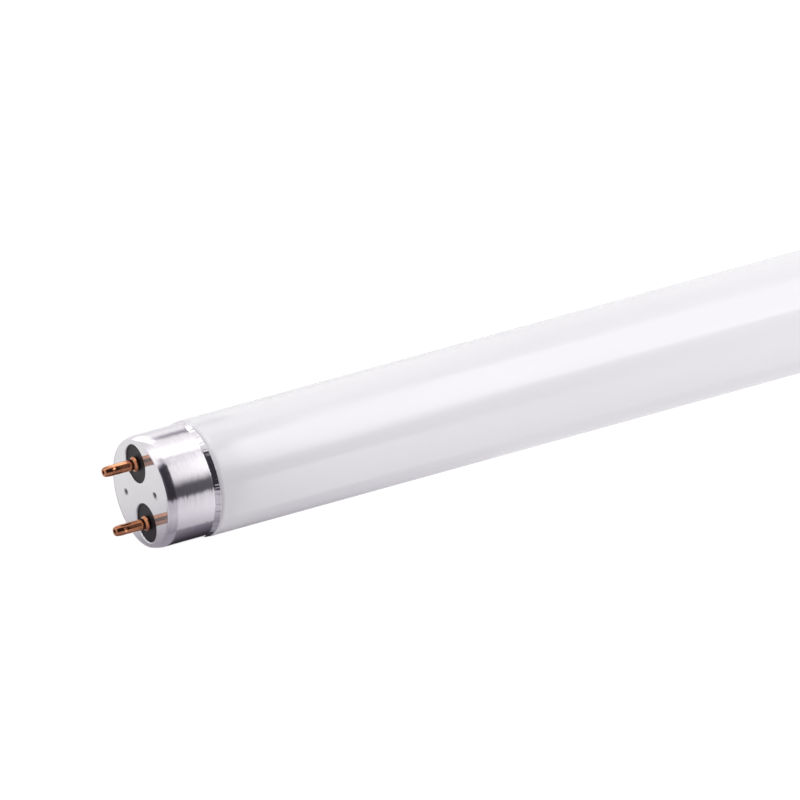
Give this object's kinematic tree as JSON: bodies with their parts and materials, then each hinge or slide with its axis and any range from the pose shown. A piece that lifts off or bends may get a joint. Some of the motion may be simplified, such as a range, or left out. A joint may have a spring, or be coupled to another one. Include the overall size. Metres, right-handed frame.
{
  "type": "led tube lamp",
  "caption": "Straight opal glass LED tube with a pressed aluminium cap and a pair of hollow contact pins at each end, LED strip and driver inside.",
  "frame": {"origin": "on the tube's axis, halfway between the flat faces of the two end caps", "axes": "+X runs along the tube from the input cap to the far cap, each cap's two pins lie in line along Y, and the LED strip lies at -Z and shines towards +Z"},
  "size_m": [0.6038, 0.025, 0.025],
  "materials": {
    "opal_glass": "gloss",
    "cap_aluminium": "satin",
    "insulator_plastic": "matte",
    "pin_copper": "polished",
    "strip_board_white": "satin",
    "strip_silicone": "satin",
    "led_housing_white": "satin",
    "led_phosphor_yellow": "satin",
    "sleeve_film": "gloss",
    "driver_board_green": "satin",
    "fuse_ceramic": "satin",
    "varistor_coating": "gloss",
    "film_capacitor_case": "satin",
    "ferrite": "matte",
    "enamelled_copper": "gloss",
    "can_sleeve": "gloss",
    "chip_moulding": "satin",
    "tinned_wire": "polished"
  },
  "bodies": {
    "root": {"glass_tube": "opal_glass", "end_cap_input": "cap_aluminium", "end_cap_far": "cap_aluminium", "insulator_input": "insulator_plastic", "insulator_far": "insulator_plastic", "contact_pin_live": "pin_copper", "contact_pin_neutral": "pin_copper", "contact_pin_far_left": "pin_copper", "contact_pin_far_right": "pin_copper", "led_strip_board": "strip_board_white", "strip_adhesive": "strip_silicone", "led_housings": "led_housing_white", "led_phosphor": "led_phosphor_yellow", "driver_sleeve": "sleeve_film", "driver_board": "driver_board_green", "fuse_resistor": "fuse_ceramic", "varistor": "varistor_coating", "input_capacitor": "film_capacitor_case", "choke_core": "ferrite", "choke_winding": "enamelled_copper", "smoothing_capacitor": "can_sleeve", "output_capacitor": "can_sleeve", "bridge_rectifier": "chip_moulding", "driver_ic": "chip_moulding", "lead_live": "tinned_wire", "lead_neutral": "tinned_wire", "lead_plus": "tinned_wire", "lead_minus": "tinned_wire", "pin_link_wire": "tinned_wire"}
  },
  "joints": []
}
